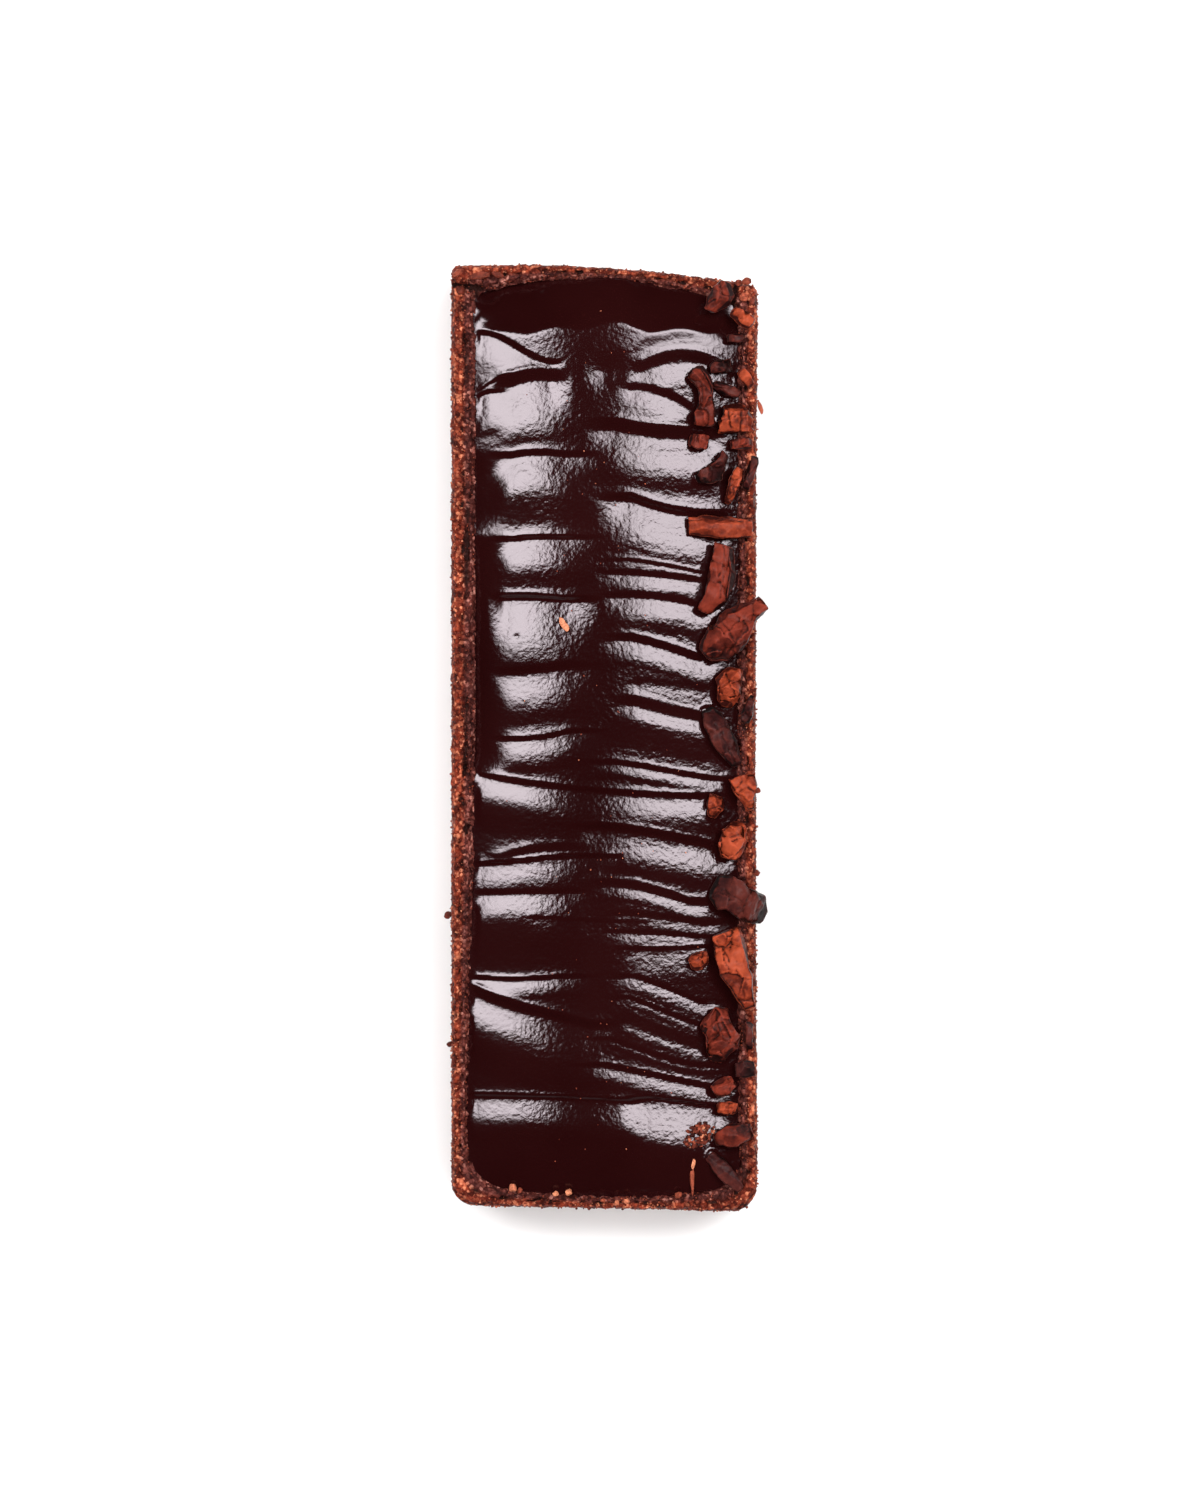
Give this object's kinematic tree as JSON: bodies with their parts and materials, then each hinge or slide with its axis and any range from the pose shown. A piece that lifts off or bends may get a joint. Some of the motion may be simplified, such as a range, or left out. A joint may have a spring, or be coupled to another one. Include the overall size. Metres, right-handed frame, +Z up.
{
  "type": "chocolate tart",
  "caption": "Slim rectangular chocolate tart: a cocoa crust tray filled with knife-spread ganache, with broken cocoa nibs along one long side.",
  "frame": {"origin": "middle of the crust's flat underside, where the tart stands", "axes": "+X across the tart towards the side with the cocoa nibs, +Y along its length, +Z up"},
  "size_m": [0.0421, 0.1238, 0.0243],
  "materials": {
    "crust": "grainy baked cocoa pastry, matte",
    "ganache": "very dark chocolate, glossy",
    "nib_light": "freshly broken face of a roasted cocoa bean, satin",
    "nib_red": "red-brown roasted cocoa bean, satin",
    "nib_dark": "dark outer face of a roasted cocoa bean, satin"
  },
  "bodies": {
    "root": {"crust": "crust", "ganache": "ganache", "nib_01": "nib_red", "nib_02": "nib_light", "nib_03": "nib_dark", "nib_04": "nib_dark", "nib_05": "nib_dark", "nib_06": "nib_light", "nib_07": "nib_red", "nib_08": "nib_light", "nib_09": "nib_red", "nib_10": "nib_red", "nib_11": "nib_dark", "nib_12": "nib_light", "nib_13": "nib_dark", "nib_14": "nib_light", "nib_15": "nib_red", "nib_16": "nib_red", "nib_17": "nib_light", "nib_18": "nib_dark", "nib_19": "nib_dark", "nib_20": "nib_light", "nib_21": "nib_light", "nib_22": "nib_light", "nib_23": "nib_dark", "nib_24": "nib_light", "nib_25": "nib_light", "nib_26": "nib_red", "nib_27": "nib_dark", "nib_28": "nib_dark", "nib_29": "nib_red", "nib_30": "nib_light", "nib_31": "nib_red", "nib_32": "nib_dark"}
  },
  "joints": []
}
